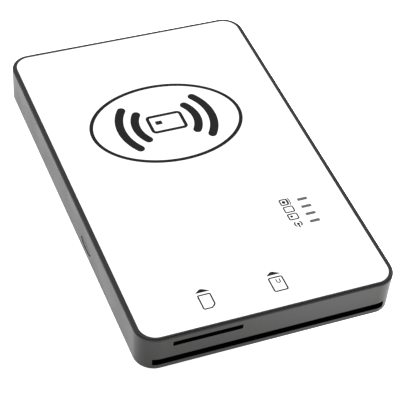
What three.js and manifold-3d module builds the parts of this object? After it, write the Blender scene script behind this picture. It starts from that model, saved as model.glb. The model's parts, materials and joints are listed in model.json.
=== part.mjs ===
// Pocket contactless ticket and card validator, lying on its back.
// Millimetres. +X is right, +Y points away from the slotted front edge,
// +Z comes out of the printed face. The origin is the centre of the underside.

import * as THREE from "three";
import { mergeVertices } from "three/addons/utils/BufferGeometryUtils.js";
import Module from "manifold-3d";

const wasm = await Module();
wasm.setup();

// ---------------------------------------------------------------- driving dimensions

const WIDTH = 61.3;
const LENGTH = 97.1;
const HEIGHT = 9.4;
const CORNER_RADIUS = 4.93;
const RIM_Z = 9.05;
const DRAFT = 0.31;
const END_DRAFT = 0.05;
const FOOT_RADIUS = 0.2;
const WALL = 1.7;
const FLOOR = 1.3;

const HALF_X = WIDTH / 2;
const HALF_Y = LENGTH / 2;
const INNER_X = HALF_X - WALL;
const INNER_Y = HALF_Y - WALL;
const CORNER_STEPS = 7;

// The card slot takes an ID-1 card, the module slot an ID-000 plug-in module.
const CARD_SLOT = { half: 27.5, z0: FLOOR, z1: 3.0 };
const CARD_GUIDE_X = 27.2;
const CARD_STOP_Y = -3.4;
const MODULE_SLOT = { x0: -23.1, x1: -7.1, z0: 6.5, z1: 7.72 };

const COVER = { bottom: 8.05, plate: 8.55, lip: 9.1, edge: 9.2, top: 9.36 };
const COVER_WEB = { outer: 0.6, inner: 1.1 };
const COVER_LIP = { inset: 0.08, frontLedge: 0.48, bevel: 0.12 };
const SEAT = { inset: 0.5, z: 8.0 };
const PANEL = { inset: 1.15, endOut: 0.2, bottom: 8.6, edge: 0.06 };

const BOARD = { half: 28.3, y0: -44.0, y1: 14.5, bottom: 4.7, top: 5.5 };
const BOARD_GAP = 0.05;
const ON_BOARD = BOARD.top + BOARD_GAP;
const UNDER_BOARD = BOARD.bottom - BOARD_GAP;

const SCREWS = { x: 25.6, y: [1.4, 43.6], head: 1.9, shank: 0.9, under: 0.1, top: 6.4 };
const SCREW_HEAD_TOP = 0.95;
const SCREW_HOLES = { counterbore: 2.1, depth: 1.0, clearance: 1.15, thread: 1.0 };
const SCREW_SEAT = { radius: 2.6, top: 2.6 };
const BOSS = { radius: 2.1, bottom: 2.7 };

// Where the tray holds the board and stops the card: [x0, x1], or [side, y0, y1] along a wall.
const STOPS = { thickness: 1.2, top: 4.2, spans: [[-24, -16], [-4, 6], [14, 24]] };
const LEDGES = {
  x: 27.8,
  spans: [[1, -43, -36], [1, -6, -3], [1, 13.2, 14.4], [-1, -43, -36], [-1, -6, -3], [-1, 6, 12]],
};
const GUIDE_FRONT = -45.5;
const HOOKS = { bottom: 5.8, thickness: 0.7, gap: 0.2, spans: [[1, 7], [17, 23]] };

const BUTTON = { y: -12.3, z: 3.0, length: 6.5, height: 2.4, gap: 0.18, face: -30.36 };
const PORT = { y: 9.0, z: 3.2, width: 7.5, height: 2.5, back: 23.75, mouth: 29.85, gap: 0.3 };

const LABEL = { x: 0, y: 17, width: 40, length: 26, bottom: 0.04, top: 0.12, recess: 0.15 };

const LIGHTS = { x: 19.88, y: -18.65, pitch: 2.42, length: 2.4, width: 0.75 };

const CONTACT_PITCH = 2.54;
const CONTACT_ROW_GAP = 7.62;
const CARD_CONTACTS = { x: 3.1, columns: 4, y: CARD_STOP_Y - 18.87, reach: 5.35, z: 2.97 };
const MODULE_CONTACTS = { x: -15.1, columns: 3, y: -37.2, reach: 4.0, z: 6.47 };

const LEVER = { x: -12.0, y: -1.6, pin: 0.5, bore: 0.56, hub: 1.3, tipX: -7.0, tipY: -4.9 };

// ---------------------------------------------------------------- solids

const solidOf = (geometry) => {
  geometry.deleteAttribute("normal");
  geometry.deleteAttribute("uv");
  const merged = mergeVertices(geometry);
  return new wasm.Manifold(new wasm.Mesh({
    numProp: 3,
    vertProperties: new Float32Array(merged.attributes.position.array),
    triVerts: new Uint32Array(merged.index.array),
  }));
};

const unite = (solids) => solids.reduce((sum, solid) => sum.add(solid));
const cut = (solid, tools) => tools.reduce((rest, tool) => rest.subtract(tool), solid);

const geometryOf = (solid) => {
  const mesh = solid.getMesh();
  const geometry = new THREE.BufferGeometry();
  geometry.setAttribute("position", new THREE.BufferAttribute(mesh.vertProperties, 3));
  geometry.setIndex(new THREE.BufferAttribute(mesh.triVerts, 1));
  geometry.computeVertexNormals();
  return geometry;
};

// One loop of points round the case outline, drawn in from it by inset. Its front and back
// ends are then moved outwards.
const outlineLoop = (inset, z, frontOut, backOut) => {
  const radius = CORNER_RADIUS - inset;
  const cx = HALF_X - CORNER_RADIUS;
  const back = HALF_Y - CORNER_RADIUS + backOut;
  const front = CORNER_RADIUS - HALF_Y - frontOut;
  const corners = [[cx, back], [-cx, back], [-cx, front], [cx, front]];
  return corners.flatMap(([x, y], quarter) =>
    Array.from({ length: CORNER_STEPS + 1 }, (_, step) => {
      const angle = (quarter + step / CORNER_STEPS) * Math.PI / 2;
      return [x + radius * Math.cos(angle), y + radius * Math.sin(angle), z];
    }));
};

// A closed solid through outline loops, each given as [inset, z, frontOut, backOut] from the
// bottom up. The back end moves as the front end does unless it is given.
const loft = (profile) => {
  const loops = profile.map(([inset, z, frontOut = 0, backOut = frontOut]) =>
    outlineLoop(inset, z, frontOut, backOut));
  const count = loops[0].length;
  const points = loops.flat();
  const faces = [];
  for (let level = 0; level < loops.length - 1; level += 1) {
    for (let i = 0; i < count; i += 1) {
      const next = (i + 1) % count;
      const [a, b] = [level * count + i, level * count + next];
      faces.push(a, b, b + count, a, b + count, a + count);
    }
  }
  const last = (loops.length - 1) * count;
  for (let i = 1; i < count - 1; i += 1) {
    faces.push(0, i + 1, i, last, last + i, last + i + 1);
  }
  const geometry = new THREE.BufferGeometry();
  geometry.setAttribute("position", new THREE.Float32BufferAttribute(points.flat(), 3));
  geometry.setIndex(faces);
  return solidOf(geometry);
};

const extrude = (shape, depth, curveSegments = 6) =>
  new THREE.ExtrudeGeometry(shape, { depth, bevelEnabled: false, curveSegments, steps: 1 });

const polygon = (points) => new THREE.Shape(points.map(([u, v]) => new THREE.Vector2(u, v)));

const roundedRectangle = (u, v, width, height, radius) => {
  const [w, h] = [width / 2, height / 2];
  const shape = new THREE.Shape();
  const centres = [[w - radius, h - radius], [radius - w, h - radius],
    [radius - w, radius - h], [w - radius, radius - h]];
  centres.forEach(([cu, cv], quarter) => {
    const start = quarter * Math.PI / 2;
    shape.absarc(u + cu, v + cv, radius, start, start + Math.PI / 2, false);
  });
  shape.closePath();
  return shape;
};

const ellipse = (u, v, halfU, halfV) => {
  const shape = new THREE.Shape();
  shape.absellipse(u, v, halfU, halfV, 0, Math.PI * 2, false);
  return shape;
};

// Prisms along each axis. The section is drawn in (x, y), (y, z) or (x, z).
const prismZ = (shape, z0, z1, curveSegments) =>
  solidOf(extrude(shape, z1 - z0, curveSegments).translate(0, 0, z0));

const prismX = (shape, x0, x1, curveSegments) => {
  const turn = new THREE.Matrix4().makeBasis(
    new THREE.Vector3(0, 1, 0), new THREE.Vector3(0, 0, 1), new THREE.Vector3(1, 0, 0));
  return solidOf(extrude(shape, x1 - x0, curveSegments).applyMatrix4(turn).translate(x0, 0, 0));
};

const prismY = (shape, y0, y1) =>
  solidOf(extrude(shape, y1 - y0).rotateX(Math.PI / 2).translate(0, y1, 0));

const block = (x0, x1, y0, y1, z0, z1) =>
  prismZ(polygon([[x0, y0], [x1, y0], [x1, y1], [x0, y1]]), z0, z1);

const roundedBlock = (x, y, width, length, radius, z0, z1) =>
  prismZ(roundedRectangle(x, y, width, length, radius), z0, z1, 3);

const post = (x, y, radius, z0, z1, sides = 16) => {
  const geometry = new THREE.CylinderGeometry(radius, radius, z1 - z0, sides);
  return solidOf(geometry.rotateX(Math.PI / 2).translate(x, y, (z0 + z1) / 2));
};

// A bent strip of sheet metal: its centre line in (y, z), its thickness and its width in x.
const strip = (line, thickness, x, width) => {
  const sides = [1, -1].map((side) => line.map(([y, z], i) => {
    const [y0, z0] = line[Math.max(i - 1, 0)];
    const [y1, z1] = line[Math.min(i + 1, line.length - 1)];
    const run = Math.hypot(y1 - y0, z1 - z0);
    const half = side * thickness / 2;
    return [y + half * (z1 - z0) / run, z - half * (y1 - y0) / run];
  }));
  return prismX(polygon([...sides[0], ...sides[1].reverse()]), x - width / 2, x + width / 2);
};

// ---------------------------------------------------------------- nodes

const validator = new THREE.Group();
validator.name = "ticket_validator";

const FINISHES = {
  case_grey: [0x8f8f8d, 0.5, 0.0],
  trim_dark: [0x3a393c, 0.35, 0.0],
  panel_white: [0xfafafa, 0.3, 0.0],
  clear_lens: [0xb9bcc0, 0.2, 0.0],
  led_body: [0xf2efe4, 0.4, 0.0],
  board_green: [0x1d5a3a, 0.45, 0.0],
  ferrite: [0x2c2b2d, 0.7, 0.0],
  foil: [0xc6c8ca, 0.35, 0.9],
  foam: [0x232323, 0.9, 0.0],
  connector_black: [0x1c1c1e, 0.5, 0.0],
  connector_cream: [0xe9e2cd, 0.5, 0.0],
  gold: [0xcfa24a, 0.3, 1.0],
  steel: [0xb4b6b8, 0.3, 1.0],
  chip_black: [0x161617, 0.55, 0.0],
  wire_red: [0xa81f1c, 0.5, 0.0],
  wire_black: [0x141414, 0.5, 0.0],
  label_paper: [0xe4e4e2, 0.6, 0.0],
};

const addNode = (name, solid, finish) => {
  const [color, roughness, metalness] = FINISHES[finish];
  const material = new THREE.MeshStandardMaterial({ color, roughness, metalness });
  const mesh = new THREE.Mesh(geometryOf(solid), material);
  mesh.name = name;
  validator.add(mesh);
};

const screwPlaces = SCREWS.y.flatMap((y) => [[-SCREWS.x, y], [SCREWS.x, y]]);
const lightPlaces = [0, 1, 2, 3].map((row) => LIGHTS.y - row * LIGHTS.pitch);

// ---------------------------------------------------------------- casing

// The tray: floor, drafted walls, card guides, card stops, board ledges and screw seats.
const buildRearCase = () => {
  const footOut = DRAFT - END_DRAFT;
  const outside = loft([
    [DRAFT + FOOT_RADIUS, 0, footOut], [DRAFT + 0.3 * FOOT_RADIUS, 0.3 * FOOT_RADIUS, footOut],
    [DRAFT, FOOT_RADIUS, footOut], [0, RIM_Z - 0.25], [0.04, RIM_Z - 0.1], [0.14, RIM_Z],
  ]);
  const hollow = loft([
    [WALL, FLOOR], [WALL, SEAT.z], [SEAT.inset, SEAT.z], [SEAT.inset, HEIGHT + 1],
  ]);
  const shell = outside.subtract(hollow);

  const under = FLOOR - 0.1;
  const intoWall = INNER_X + 0.1;
  const guides = [-1, 1].map((side) => prismZ(polygon([
    [side * intoWall, GUIDE_FRONT], [side * (CARD_GUIDE_X + 0.5), GUIDE_FRONT],
    [side * CARD_GUIDE_X, GUIDE_FRONT + 3], [side * CARD_GUIDE_X, CARD_STOP_Y],
    [side * intoWall, CARD_STOP_Y],
  ]), under, CARD_SLOT.z1));
  const stops = STOPS.spans.map(([x0, x1]) =>
    block(x0, x1, CARD_STOP_Y, CARD_STOP_Y + STOPS.thickness, under, STOPS.top));
  const ledges = LEDGES.spans.map(([side, y0, y1]) => block(
    Math.min(side * LEDGES.x, side * intoWall), Math.max(side * LEDGES.x, side * intoWall),
    y0, y1, under, UNDER_BOARD));
  const seats = screwPlaces.map(([x, y]) => post(x, y, SCREW_SEAT.radius, under, SCREW_SEAT.top));

  const throughWall = [-HALF_Y - 1, -INNER_Y + 0.5];
  const cuts = [
    block(-CARD_SLOT.half, CARD_SLOT.half, ...throughWall, CARD_SLOT.z0, CARD_SLOT.z1),
    block(MODULE_SLOT.x0, MODULE_SLOT.x1, ...throughWall, MODULE_SLOT.z0, MODULE_SLOT.z1),
    prismX(ellipse(BUTTON.y, BUTTON.z, BUTTON.length / 2, BUTTON.height / 2),
      -HALF_X - 1, -INNER_X + 0.5, 14),
    block(-INNER_X, -LEDGES.x, BUTTON.y - 4.7, BUTTON.y + 4.7, FLOOR + 0.1, 5),
    prismX(roundedRectangle(PORT.y, PORT.z, PORT.width + 2 * PORT.gap, PORT.height + 2 * PORT.gap, 1.0),
      INNER_X - 0.5, HALF_X + 1),
    roundedBlock(LABEL.x, LABEL.y, LABEL.width + 0.4, LABEL.length + 0.4, 1.5, -1, LABEL.recess),
    ...screwPlaces.map(([x, y]) => post(x, y, SCREW_HOLES.counterbore, -1, SCREW_HOLES.depth, 20)),
    ...screwPlaces.map(([x, y]) => post(x, y, SCREW_HOLES.clearance, 0, 3)),
  ];
  return cut(unite([shell, ...guides, ...stops, ...ledges, ...seats]), cuts);
};
addNode("rear_case", buildRearCase(), "case_grey");

// The dark cover: a plate with a raised border round the panel, screw bosses and front hooks.
const buildTopCover = () => {
  const web = loft([[COVER_WEB.outer, COVER.bottom], [COVER_WEB.outer, COVER.lip + 0.05]]);
  const { inset, frontLedge, bevel } = COVER_LIP;
  const border = loft([
    [inset, COVER.lip, -frontLedge, 0], [inset, COVER.edge, -frontLedge, 0],
    [inset + bevel, COVER.top - 0.04, -frontLedge, 0], [COVER_WEB.inner - 0.05, COVER.top, PANEL.endOut],
  ]);
  const recess = loft([
    [COVER_WEB.inner, COVER.plate, PANEL.endOut], [COVER_WEB.inner, HEIGHT + 1, PANEL.endOut],
  ]);
  const blank = web.add(border);
  const intoPlate = COVER.bottom + 0.2;
  const hookFront = -INNER_Y + HOOKS.gap;
  const bosses = screwPlaces.map(([x, y]) => post(x, y, BOSS.radius, BOSS.bottom, intoPlate));
  const hooks = HOOKS.spans.map(([x0, x1]) =>
    block(x0, x1, hookFront, hookFront + HOOKS.thickness, HOOKS.bottom, intoPlate));
  const windows = lightPlaces.map((y) =>
    roundedBlock(LIGHTS.x, y, LIGHTS.length + 0.5, LIGHTS.width + 0.45, 0.3, 7, 9));
  const threads = screwPlaces.map(([x, y]) => post(x, y, SCREW_HOLES.thread, 2, SCREWS.top + 0.4));
  return cut(unite([blank.subtract(recess), ...bosses, ...hooks]), [...windows, ...threads]);
};
addNode("top_cover", buildTopCover(), "trim_dark");

const buildFrontPanel = () => {
  const plate = loft([
    [PANEL.inset, PANEL.bottom, PANEL.endOut], [PANEL.inset, HEIGHT - PANEL.edge, PANEL.endOut],
    [PANEL.inset + PANEL.edge, HEIGHT, PANEL.endOut],
  ]);
  const windows = lightPlaces.map((y) =>
    roundedBlock(LIGHTS.x, y, LIGHTS.length + 0.1, LIGHTS.width + 0.1, 0.2, 8, 10));
  return cut(plate, windows);
};
addNode("front_panel", buildFrontPanel(), "panel_white");

const buildScrew = (x, y) => {
  const head = post(x, y, SCREWS.head, SCREWS.under, SCREW_HEAD_TOP, 20);
  const shank = post(x, y, SCREWS.shank, SCREW_HEAD_TOP - 0.05, SCREWS.top, 12);
  const cross = [[1.1, 0.25], [0.25, 1.1]].map(([a, b]) => block(x - a, x + a, y - b, y + b, 0, 0.55));
  return cut(head.add(shank), cross);
};
screwPlaces.forEach(([x, y], i) => addNode(`case_screw_${i + 1}`, buildScrew(x, y), "steel"));

addNode("rear_label",
  roundedBlock(LABEL.x, LABEL.y, LABEL.width, LABEL.length, 1.3, LABEL.bottom, LABEL.top), "label_paper");

// ---------------------------------------------------------------- status lights

lightPlaces.forEach((y, i) => {
  const lens = unite([
    roundedBlock(LIGHTS.x, y, LIGHTS.length, LIGHTS.width, 0.18, 7.9, HEIGHT - 0.02),
    roundedBlock(LIGHTS.x, y, 3.4, 1.7, 0.3, 7.55, 8.0),
    roundedBlock(LIGHTS.x, y, 2.0, 0.9, 0.2, 6.4, 7.6),
  ]);
  addNode(`status_light_${i + 1}`, lens, "clear_lens");
  addNode(`status_led_${i + 1}`, roundedBlock(LIGHTS.x, y, 1.6, 0.8, 0.1, ON_BOARD, 6.2), "led_body");
});

// ---------------------------------------------------------------- main board and what is on it

const buildMainBoard = () => {
  const width = BOARD.half * 2;
  const length = BOARD.y1 - BOARD.y0;
  const sheet = roundedBlock(0, (BOARD.y0 + BOARD.y1) / 2, width, length, 1.0, BOARD.bottom, BOARD.top);
  const notches = [-1, 1].map((side) => block(
    side * (SCREWS.x + 1) - 3.6, side * (SCREWS.x + 1) + 3.6, SCREWS.y[0] - 2.6, SCREWS.y[0] + 2.6, 4, 6));
  return cut(sheet, notches);
};
addNode("main_board", buildMainBoard(), "board_green");

addNode("main_chip", roundedBlock(2, -18, 7, 7, 0.2, ON_BOARD, 6.45), "chip_black");
addNode("reader_chip", roundedBlock(2, -3, 5, 5, 0.2, ON_BOARD, 6.4), "chip_black");
addNode("crystal", roundedBlock(9.5, -17, 3.2, 2.5, 0.3, ON_BOARD, 6.3), "steel");

const BUZZER = { x: 3, y: -36.5, width: 9, top: 7.4, hole: 0.8 };
const buildBuzzer = () => {
  const body = roundedBlock(BUZZER.x, BUZZER.y, BUZZER.width, BUZZER.width, 0.6, ON_BOARD, BUZZER.top);
  return body.subtract(post(BUZZER.x, BUZZER.y, BUZZER.hole, BUZZER.top - 0.8, BUZZER.top + 1));
};
addNode("buzzer", buildBuzzer(), "connector_black");

const RADIO = { x: 20.5, y: -35.5, width: 12.5, length: 15, top: 6.2, canTop: 7.4 };
const buildRadioModule = () => {
  const carrier = roundedBlock(RADIO.x, RADIO.y, RADIO.width, RADIO.length, 0.2, ON_BOARD, RADIO.top);
  return carrier.add(roundedBlock(RADIO.x, RADIO.y + 2, 11, 10, 0.4, RADIO.top - 0.1, RADIO.canTop));
};
addNode("radio_module", buildRadioModule(), "steel");

// ---------------------------------------------------------------- contactless antenna

const ANTENNA = { y: 14.6, width: 45, length: 48, z0: 7.5, z1: 8.0 };
const FERRITE = { y: ANTENNA.y + 0.6, width: 44, length: 46, z0: 7.2, z1: 7.45 };
addNode("antenna_board",
  roundedBlock(0, ANTENNA.y, ANTENNA.width, ANTENNA.length, 2, ANTENNA.z0, ANTENNA.z1), "board_green");
addNode("ferrite_sheet",
  roundedBlock(0, FERRITE.y, FERRITE.width, FERRITE.length, 1.5, FERRITE.z0, FERRITE.z1), "ferrite");
[-1.3, 1.3].forEach((x, i) => {
  const y = ANTENNA.y - ANTENNA.length / 2 + 0.45;
  addNode(`antenna_pin_${i + 1}`, post(x, y, 0.3, ON_BOARD, ANTENNA.z0 - BOARD_GAP, 10), "gold");
});

// ---------------------------------------------------------------- battery

const CELL = { width: 42, height: 5.0, z: 4.1, y0: 17, y1: 43 };
addNode("battery_cell",
  prismY(roundedRectangle(0, CELL.z, CELL.width, CELL.height, 1.4), CELL.y0, CELL.y1), "foil");
addNode("battery_pad", roundedBlock(0, (CELL.y0 + CELL.y1) / 2, 32, 18, 1, FLOOR + 0.05, 1.55), "foam");

const SOCKET = { x: -6, y0: 8.0, y1: 12.4, z1: 7.05 };
const buildBatterySocket = () => {
  const body = block(SOCKET.x - 3.1, SOCKET.x + 3.1, SOCKET.y0, SOCKET.y1, ON_BOARD, SOCKET.z1);
  return body.subtract(block(SOCKET.x - 2.4, SOCKET.x + 2.4, SOCKET.y0 + 1, SOCKET.y1 + 1, 5.8, 8));
};
addNode("battery_socket", buildBatterySocket(), "connector_cream");
addNode("battery_plug",
  block(SOCKET.x - 2.3, SOCKET.x + 2.3, SOCKET.y0 + 1.1, SOCKET.y1 + 0.2, 5.9, 7.0), "connector_cream");

// The two leads rise from the cell's end, over the board's edge and into the plug.
const buildLead = (x) => {
  const route = new THREE.CatmullRomCurve3([
    [x, CELL.y0 - 0.3, 4.0], [x, 15.7, 4.3], [x, 15.4, 5.4], [x, 14.6, 6.35], [x, 12.9, 6.45],
  ].map((point) => new THREE.Vector3(...point)));
  const circle = new THREE.Shape();
  circle.absarc(0, 0, 0.35, 0, Math.PI * 2, false);
  return solidOf(new THREE.ExtrudeGeometry(circle, { extrudePath: route, steps: 16, curveSegments: 8 }));
};
addNode("battery_lead_positive", buildLead(SOCKET.x + 0.7), "wire_red");
addNode("battery_lead_negative", buildLead(SOCKET.x - 0.7), "wire_black");

// ---------------------------------------------------------------- card connector

const columnsOf = ({ x, columns }) =>
  Array.from({ length: columns }, (_, i) => x + (i - (columns - 1) / 2) * CONTACT_PITCH);
const rowsOf = ({ y }) => [y, y + CONTACT_ROW_GAP];

const buildCardConnector = () => {
  const body = roundedBlock(CARD_CONTACTS.x, -21, 15.2, 17, 0.6, 3.15, UNDER_BOARD);
  const pockets = rowsOf(CARD_CONTACTS).map((y) =>
    block(CARD_CONTACTS.x - 4.8, CARD_CONTACTS.x + 4.8, y - 3.4, y + 1.0, 3, 3.9));
  return cut(body, pockets);
};
addNode("card_connector", buildCardConnector(), "connector_black");

const contactPlaces = (contacts) =>
  rowsOf(contacts).flatMap((y) => columnsOf(contacts).map((x) => [x, y - contacts.reach]));

contactPlaces(CARD_CONTACTS).forEach(([x, root], i) => {
  const z = CARD_CONTACTS.z;
  const line = [[0, z], [1.2, z], [4.85, z - 1.02], [5.35, z - 1.1], [5.9, z - 0.9]]
    .map(([y, height]) => [root + y, height]);
  addNode(`card_contact_${i + 1}`, strip(line, 0.15, x, 0.9), "gold");
});

// The presence switch hangs under the board; its lever turns on a pin in the card's way.
const buildCardSwitch = () => {
  const body = roundedBlock(LEVER.x, LEVER.y + 1.2, 6.4, 5.0, 0.4, 2.75, UNDER_BOARD);
  return body.add(post(LEVER.x, LEVER.y, LEVER.pin, 1.45, 3.0));
};
addNode("card_switch", buildCardSwitch(), "connector_black");

const buildCardLever = () => {
  const angle = Math.atan2(LEVER.tipY - LEVER.y, LEVER.tipX - LEVER.x);
  const reach = Math.hypot(LEVER.tipY - LEVER.y, LEVER.tipX - LEVER.x);
  const arm = roundedRectangle(reach / 2, 0, reach + 0.8, 0.8, 0.39);
  const armSolid = solidOf(
    extrude(arm, 0.7, 3).rotateZ(angle).translate(LEVER.x, LEVER.y, 1.75));
  const hub = post(LEVER.x, LEVER.y, LEVER.hub, 1.6, 2.65, 20);
  return hub.add(armSolid).subtract(post(LEVER.x, LEVER.y, LEVER.bore, 1, 3));
};
addNode("card_lever", buildCardLever(), "connector_cream");

// ---------------------------------------------------------------- module socket

const MODULE = { x0: -24.0, x1: -6.2, y0: -46.4, y1: -20.0, floor: 6.4, top: 7.75, halfPath: 7.65 };
const buildModuleBase = () => {
  const body = block(MODULE.x0, MODULE.x1, MODULE.y0, MODULE.y1, ON_BOARD, MODULE.top);
  const channel = block(MODULE_CONTACTS.x - MODULE.halfPath, MODULE_CONTACTS.x + MODULE.halfPath,
    MODULE.y0 - 1, MODULE.y1 - 0.9, MODULE.floor, 9);
  const pockets = contactPlaces(MODULE_CONTACTS).map(([x, root]) =>
    block(x - 0.65, x + 0.65, root + 0.9, root + 4.8, 6.0, 7));
  return cut(body, [channel, ...pockets]);
};
addNode("module_base", buildModuleBase(), "connector_black");

const buildModuleShell = () => {
  const outer = block(MODULE.x0 - 0.3, MODULE.x1 + 0.3, MODULE.y0 + 0.2, MODULE.y1 - 0.2, 5.6, 7.95);
  const inner = block(MODULE.x0 - 0.12, MODULE.x1 + 0.12, MODULE.y0 - 1, MODULE.y1 + 1, 5, 7.8);
  const windows = [-41, -33].map((y) => block(-19, -11.2, y - 1.5, y + 1.5, 7, 9));
  return cut(outer, [inner, ...windows]);
};
addNode("module_shell", buildModuleShell(), "steel");

const buildModuleSlider = () => prismZ(polygon([
  [-22.5, -25.0], [-21.9, -25.6], [-8.3, -25.6], [-7.7, -25.0], [-7.7, -24.4], [-22.5, -24.4],
]), 6.5, 7.65);
addNode("module_slider", buildModuleSlider(), "connector_cream");

contactPlaces(MODULE_CONTACTS).forEach(([x, root], i) => {
  const z = MODULE_CONTACTS.z;
  const line = [[0, z], [1.0, z], [3.6, z + 0.37], [4.0, z + 0.4], [4.4, z + 0.3]]
    .map(([y, height]) => [root + y, height]);
  addNode(`module_contact_${i + 1}`, strip(line, 0.12, x, 0.9), "gold");
});

// ---------------------------------------------------------------- power button

const buildPowerButton = () => {
  const flangeX = -28.8;
  const outline = ellipse(BUTTON.y, BUTTON.z, BUTTON.length / 2 - BUTTON.gap, BUTTON.height / 2 - BUTTON.gap);
  const cap = prismX(outline, BUTTON.face, flangeX + 0.2, 14);
  const flange = prismX(roundedRectangle(BUTTON.y, BUTTON.z, 8.4, 2.9, 0.6), flangeX, flangeX + 0.5, 3);
  const nose = block(flangeX + 0.4, -27.9, BUTTON.y - 1, BUTTON.y + 1, 3.5, 4.3);
  return unite([cap, flange, nose]);
};
addNode("power_button", buildPowerButton(), "case_grey");

const buildPowerSwitch = () => {
  const body = block(-27.4, -24.2, BUTTON.y - 2.3, BUTTON.y + 2.3, 3.35, UNDER_BOARD);
  return body.subtract(block(-28, -26.75, BUTTON.y - 1.05, BUTTON.y + 1.05, 3.5, 4.35));
};
addNode("power_switch", buildPowerSwitch(), "connector_black");
addNode("switch_plunger",
  block(-27.85, -27.15, BUTTON.y - 0.9, BUTTON.y + 0.9, 3.6, 4.25), "connector_cream");

// ---------------------------------------------------------------- charging port

const buildChargingPort = () => {
  const wall = 0.3;
  const shell = prismX(
    roundedRectangle(PORT.y, PORT.z, PORT.width, PORT.height, 0.7), PORT.back, PORT.mouth);
  const inside = prismX(
    roundedRectangle(PORT.y, PORT.z, PORT.width - 2 * wall, PORT.height - 2 * wall, 0.45),
    PORT.back + wall, PORT.mouth + 1);
  return shell.subtract(inside);
};
addNode("charging_port", buildChargingPort(), "steel");

const buildChargingTongue = () => {
  const root = PORT.back + 0.35;
  const tip = PORT.mouth - 0.8;
  const base = block(root, root + 0.85, PORT.y - 2.9, PORT.y + 2.9, PORT.z - 0.85, PORT.z + 0.85);
  return base.add(block(root + 0.8, tip, PORT.y - 2.2, PORT.y + 2.2, PORT.z - 0.1, PORT.z + 0.55));
};
addNode("charging_tongue", buildChargingTongue(), "connector_black");

export default validator;
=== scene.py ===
"""The looks of the pocket ticket and card validator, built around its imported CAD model.

Shapes are drawn in millimetres in the model's own frame and scaled to metres as pieces are made.
"""

import json
from math import cos, hypot, pi, radians, sin, sqrt

import bmesh
import bpy
from mathutils import Matrix, Quaternion, Vector


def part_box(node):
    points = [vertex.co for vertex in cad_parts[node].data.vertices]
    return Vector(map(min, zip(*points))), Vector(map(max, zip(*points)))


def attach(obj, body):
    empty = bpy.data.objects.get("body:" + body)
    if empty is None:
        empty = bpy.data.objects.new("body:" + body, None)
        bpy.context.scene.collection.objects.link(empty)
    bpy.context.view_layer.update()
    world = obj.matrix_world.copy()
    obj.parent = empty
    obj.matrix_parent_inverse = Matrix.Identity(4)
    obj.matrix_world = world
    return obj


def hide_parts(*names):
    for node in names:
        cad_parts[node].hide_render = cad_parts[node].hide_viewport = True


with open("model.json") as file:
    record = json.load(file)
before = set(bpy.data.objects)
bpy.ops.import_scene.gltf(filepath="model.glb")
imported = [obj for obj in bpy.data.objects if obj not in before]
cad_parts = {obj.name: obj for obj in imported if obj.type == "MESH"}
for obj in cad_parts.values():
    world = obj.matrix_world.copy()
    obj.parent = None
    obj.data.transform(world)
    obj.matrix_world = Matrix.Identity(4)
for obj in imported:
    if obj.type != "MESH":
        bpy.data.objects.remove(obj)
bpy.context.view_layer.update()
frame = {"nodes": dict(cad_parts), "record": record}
scene = bpy.context.scene

# ---------------------------------------------------------------- sizes, in millimetres

MM = 0.001


def cad_box_mm(node):
    """The lowest and highest corner of a CAD node, in millimetres."""
    low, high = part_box(node)
    return low / MM, high / MM


_, CASE_HIGH = cad_box_mm("rear_case")
PANEL_LOW, PANEL_HIGH = cad_box_mm("front_panel")
_, COVER_HIGH = cad_box_mm("top_cover")

HALF_X = CASE_HIGH.x
HALF_Y = CASE_HIGH.y
RIM_Z = CASE_HIGH.z
CORNER_RADIUS = 4.93
CORNER_STEPS = 20
SIDE_DRAFT = 0.31
END_DRAFT = 0.05
WALL = 1.7
FLOOR = 1.3
FOOT_RADIUS = 0.2
RIM_RADIUS = 0.14
SEAT_Z = 8.0
SEAT_INSET = 0.5

CARD_SLOT = {"x0": -27.5, "x1": 27.5, "z0": FLOOR, "z1": 3.0, "corner": 0.15}
MODULE_SLOT = {"x0": -23.1, "x1": -7.1, "z0": 6.5, "z1": 7.72, "corner": 0.12}
SLOT_FLARE = 0.09
CUT_DEPTH = WALL + 0.4
CARD_STOP_Y = -3.4

# The panel is inset on all sides, and its ends are then moved out a little.
PANEL_INSET = HALF_X - PANEL_HIGH.x
PANEL_OUT = PANEL_HIGH.y - HALF_Y + PANEL_INSET
PANEL_TOP = PANEL_HIGH.z - 0.015
PANEL_GAP = 0.05
BORDER_OUTER = 0.08
BORDER_INNER = PANEL_INSET - PANEL_GAP
FRONT_LEDGE = 0.48
INK_TOP = PANEL_TOP + 0.008
INK_BOTTOM = PANEL_TOP - 0.02

LIGHT_LENGTH = 2.4
LIGHT_WIDTH = 0.75
SHARP_EDGE = 35

BUTTON_LOW, BUTTON_HIGH = cad_box_mm("power_button")
BUTTON = {"y": (BUTTON_LOW.y + BUTTON_HIGH.y) / 2, "z": 3.0, "half_y": 3.25, "half_z": 1.2, "gap": 0.18}
PORT_LOW, PORT_HIGH = cad_box_mm("charging_port")
PORT_MIDDLE = ((PORT_LOW.y + PORT_HIGH.y) / 2, (PORT_LOW.z + PORT_HIGH.z) / 2)
PORT_HALF = ((PORT_HIGH.y - PORT_LOW.y) / 2, (PORT_HIGH.z - PORT_LOW.z) / 2)
PORT_GAP = 0.3
LABEL_LOW, LABEL_HIGH = cad_box_mm("rear_label")
LABEL_MIDDLE = (LABEL_LOW + LABEL_HIGH) / 2
LABEL_SIZE = LABEL_HIGH - LABEL_LOW


def numbered(name, count):
    """The number and the middle (x, y) of each of a set of numbered CAD nodes."""
    places = []
    for number in range(1, count + 1):
        low, high = cad_box_mm(f"{name}_{number}")
        places.append((number, (low.x + high.x) / 2, (low.y + high.y) / 2))
    return places


SCREWS = numbered("case_screw", 4)
LIGHTS = numbered("status_light", 4)


# ---------------------------------------------------------------- materials

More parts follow.
